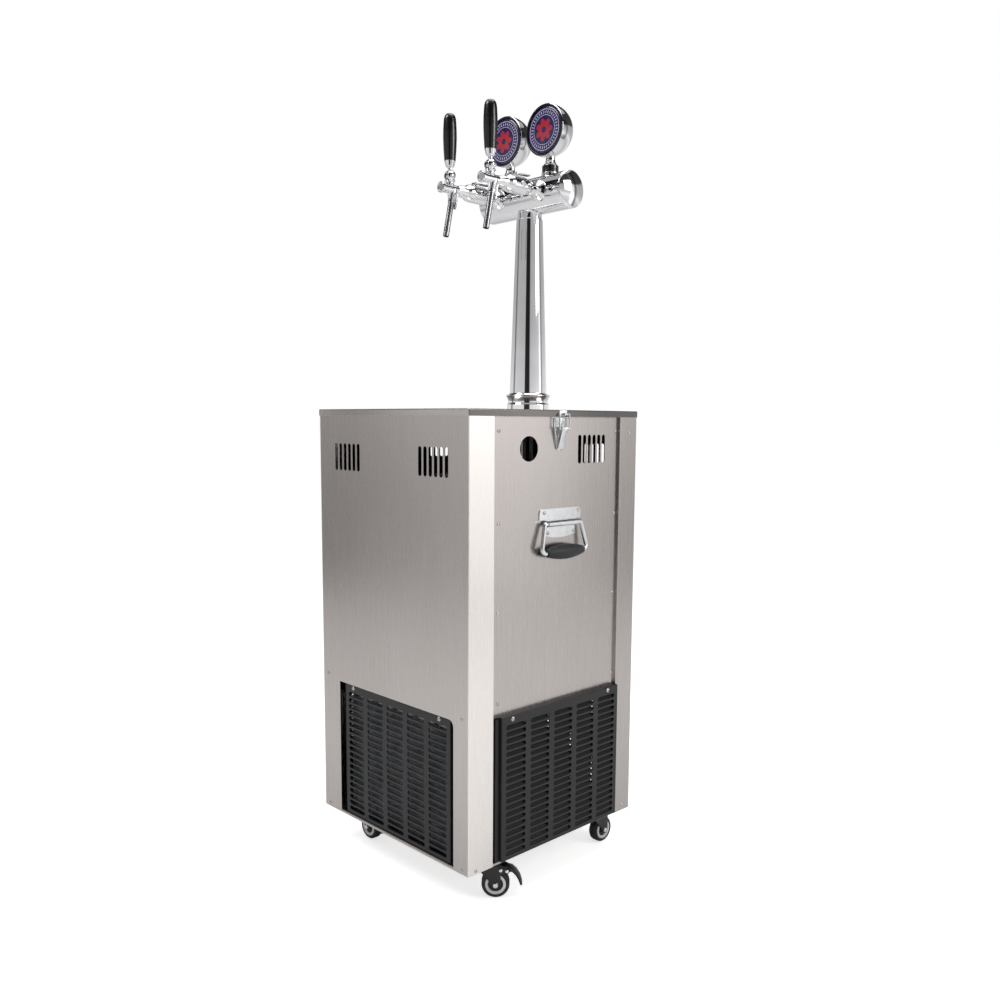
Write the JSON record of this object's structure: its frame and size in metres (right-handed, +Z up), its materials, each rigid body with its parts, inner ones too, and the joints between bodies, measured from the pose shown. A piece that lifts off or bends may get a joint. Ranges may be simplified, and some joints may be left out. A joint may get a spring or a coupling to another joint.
{
  "type": "mobile beer cooler with tap tower",
  "caption": "Stainless cabinet on swivel casters with louvred grilles, chest handles, toggle latches and a chrome T tower carrying beer taps and medallions",
  "frame": {"origin": "on the floor under the middle of the cabinet", "axes": "+Z up, taps towards -Y, open line port towards +X"},
  "size_m": [0.4742, 0.4346, 1.44],
  "materials": {
    "brushed_sheet": "fine straight brushing",
    "inner_steel": "mill finish",
    "bright_chrome": "mirror polish",
    "louvre_plastic": "satin moulded",
    "foam": "closed-cell foam",
    "copper_coil": "drawn copper tube",
    "black_enamel": "semi-gloss enamel",
    "fin_aluminium": "thin rolled fins",
    "black_plastic": "polished moulding",
    "fan_plastic": "moulded",
    "box_grey": "moulded box",
    "medallion_enamel": "glossy domed print",
    "rubber_grip": "smooth rubber",
    "line_hose": "translucent hose",
    "zinc_steel": "bright zinc plate",
    "fork_black": "black powder coat",
    "tread": "moulded rubber tread"
  },
  "bodies": {
    "cabinet": {"base_tray": "brushed_sheet", "front_panel": "brushed_sheet", "back_panel": "brushed_sheet", "right_side_panel": "brushed_sheet", "left_side_panel": "brushed_sheet", "inner_frame": "inner_steel", "lid": "brushed_sheet", "front_grille": "louvre_plastic", "back_grille": "louvre_plastic", "right_grille": "louvre_plastic", "left_grille": "louvre_plastic", "water_tank": "inner_steel", "tank_insulation": "foam", "cooling_coils": "copper_coil", "agitator_motor": "black_enamel", "compressor": "black_enamel", "condenser": "fin_aluminium", "fan_shroud": "inner_steel", "refrigerant_pipes": "copper_coil", "control_box": "box_grey", "cord_gland": "black_plastic", "tower_column": "bright_chrome", "tee_bar": "bright_chrome", "tee_end_caps": "bright_chrome", "medallion_housings": "bright_chrome", "medallion_faces": "medallion_enamel", "medallion_trim": "black_plastic", "tap_bodies": "bright_chrome", "tap_shanks": "bright_chrome", "tap_spouts": "inner_steel", "beer_lines": "line_hose", "handle_plates": "zinc_steel", "latch_plates": "zinc_steel", "caster_mounts": "zinc_steel"},
    "right_tap_handle": {"right_tap_lever": "bright_chrome", "right_tap_grip": "black_plastic"},
    "right_flow_control": {"right_flow_lever": "bright_chrome"},
    "right_chest_handle": {"right_handle_bail": "zinc_steel", "right_handle_grip": "rubber_grip"},
    "right_latch_arm": {"right_latch_lever": "zinc_steel"},
    "right_latch_hook": {"right_latch_bail": "zinc_steel"},
    "left_tap_handle": {"left_tap_lever": "bright_chrome", "left_tap_grip": "black_plastic"},
    "left_flow_control": {"left_flow_lever": "bright_chrome"},
    "left_chest_handle": {"left_handle_bail": "zinc_steel", "left_handle_grip": "rubber_grip"},
    "left_latch_arm": {"left_latch_lever": "zinc_steel"},
    "left_latch_hook": {"left_latch_bail": "zinc_steel"},
    "fan": {"fan_rotor": "fan_plastic"},
    "agitator": {"agitator_impeller": "inner_steel"},
    "front_right_caster": {"front_right_fork": "fork_black"},
    "front_right_roller": {"front_right_wheel": "tread"},
    "front_right_brake": {"front_right_pedal": "fork_black"},
    "front_left_caster": {"front_left_fork": "fork_black"},
    "front_left_roller": {"front_left_wheel": "tread"},
    "front_left_brake": {"front_left_pedal": "fork_black"},
    "back_right_caster": {"back_right_fork": "fork_black"},
    "back_right_roller": {"back_right_wheel": "tread"},
    "back_left_caster": {"back_left_fork": "fork_black"},
    "back_left_roller": {"back_left_wheel": "tread"}
  },
  "joints": [
    {"name": "right_tap_pull", "type": "hinge", "parent": "cabinet", "child": "right_tap_handle", "pos_m": [0.056, -0.0222, 1.3007], "axis": [1, 0, 0], "range_deg": [-10, 40]},
    {"name": "right_flow_turn", "type": "hinge", "parent": "cabinet", "child": "right_flow_control", "pos_m": [0.056, 0.04, 1.297], "axis": [1, 0, 0], "range_deg": [0, 50]},
    {"name": "right_chest_swing", "type": "hinge", "parent": "cabinet", "child": "right_chest_handle", "pos_m": [0.2178, 0.008, 0.66], "axis": [0, -1, 0], "range_deg": [0, 90]},
    {"name": "right_latch_throw", "type": "hinge", "parent": "cabinet", "child": "right_latch_arm", "pos_m": [0.2148, 0.005, 0.827], "axis": [0, -1, 0], "range_deg": [0, 90]},
    {"name": "right_latch_follow", "type": "hinge", "parent": "right_latch_arm", "child": "right_latch_hook", "pos_m": [0.2218, 0.005, 0.827], "axis": [0, -1, 0], "range_deg": [-115, 1]},
    {"name": "left_tap_pull", "type": "hinge", "parent": "cabinet", "child": "left_tap_handle", "pos_m": [-0.056, -0.0222, 1.3007], "axis": [1, 0, 0], "range_deg": [-10, 40]},
    {"name": "left_flow_turn", "type": "hinge", "parent": "cabinet", "child": "left_flow_control", "pos_m": [-0.056, 0.04, 1.297], "axis": [1, 0, 0], "range_deg": [0, 50]},
    {"name": "left_chest_swing", "type": "hinge", "parent": "cabinet", "child": "left_chest_handle", "pos_m": [-0.2178, 0.008, 0.66], "axis": [0, 1, 0], "range_deg": [0, 90]},
    {"name": "left_latch_throw", "type": "hinge", "parent": "cabinet", "child": "left_latch_arm", "pos_m": [-0.2148, 0.005, 0.827], "axis": [0, 1, 0], "range_deg": [0, 90]},
    {"name": "left_latch_follow", "type": "hinge", "parent": "left_latch_arm", "child": "left_latch_hook", "pos_m": [-0.2218, 0.005, 0.827], "axis": [0, 1, 0], "range_deg": [-115, 1]},
    {"name": "fan_spin", "type": "hinge", "parent": "cabinet", "child": "fan", "pos_m": [0, -0.155, 0.1892], "axis": [0, 1, 0], "continuous": true},
    {"name": "agitator_spin", "type": "hinge", "parent": "cabinet", "child": "agitator", "pos_m": [0, 0, 0.45], "axis": [0, 0, 1], "continuous": true},
    {"name": "front_right_swivel", "type": "hinge", "parent": "cabinet", "child": "front_right_caster", "pos_m": [0.176, -0.15, 0.06], "axis": [0, 0, 1], "continuous": true},
    {"name": "front_right_roll", "type": "hinge", "parent": "front_right_caster", "child": "front_right_roller", "pos_m": [0.19416, -0.13139, 0.025], "axis": [-0.7157, 0.6984, 0], "continuous": true},
    {"name": "front_right_brake_press", "type": "hinge", "parent": "front_right_caster", "child": "front_right_brake", "pos_m": [0.20813, -0.11708, 0.051], "axis": [-0.7157, 0.6984, 0], "range_deg": [0, 14]},
    {"name": "front_left_swivel", "type": "hinge", "parent": "cabinet", "child": "front_left_caster", "pos_m": [-0.176, -0.15, 0.06], "axis": [0, 0, 1], "continuous": true},
    {"name": "front_left_roll", "type": "hinge", "parent": "front_left_caster", "child": "front_left_roller", "pos_m": [-0.15, -0.15, 0.025], "axis": [0, 1, 0], "continuous": true},
    {"name": "front_left_brake_press", "type": "hinge", "parent": "front_left_caster", "child": "front_left_brake", "pos_m": [-0.13, -0.15, 0.051], "axis": [0, 1, 0], "range_deg": [0, 14]},
    {"name": "back_right_swivel", "type": "hinge", "parent": "cabinet", "child": "back_right_caster", "pos_m": [0.176, 0.15, 0.06], "axis": [0, 0, 1], "continuous": true},
    {"name": "back_right_roll", "type": "hinge", "parent": "back_right_caster", "child": "back_right_roller", "pos_m": [0.176, 0.176, 0.025], "axis": [-1, 0, 0], "continuous": true},
    {"name": "back_left_swivel", "type": "hinge", "parent": "cabinet", "child": "back_left_caster", "pos_m": [-0.176, 0.15, 0.06], "axis": [0, 0, 1], "continuous": true},
    {"name": "back_left_roll", "type": "hinge", "parent": "back_left_caster", "child": "back_left_roller", "pos_m": [-0.176, 0.176, 0.025], "axis": [-1, 0, 0], "continuous": true}
  ],
  "couplings": [
    {"joint": "right_latch_follow", "follows": "right_latch_throw", "ratio": -1.25},
    {"joint": "left_latch_follow", "follows": "left_latch_throw", "ratio": -1.25}
  ]
}
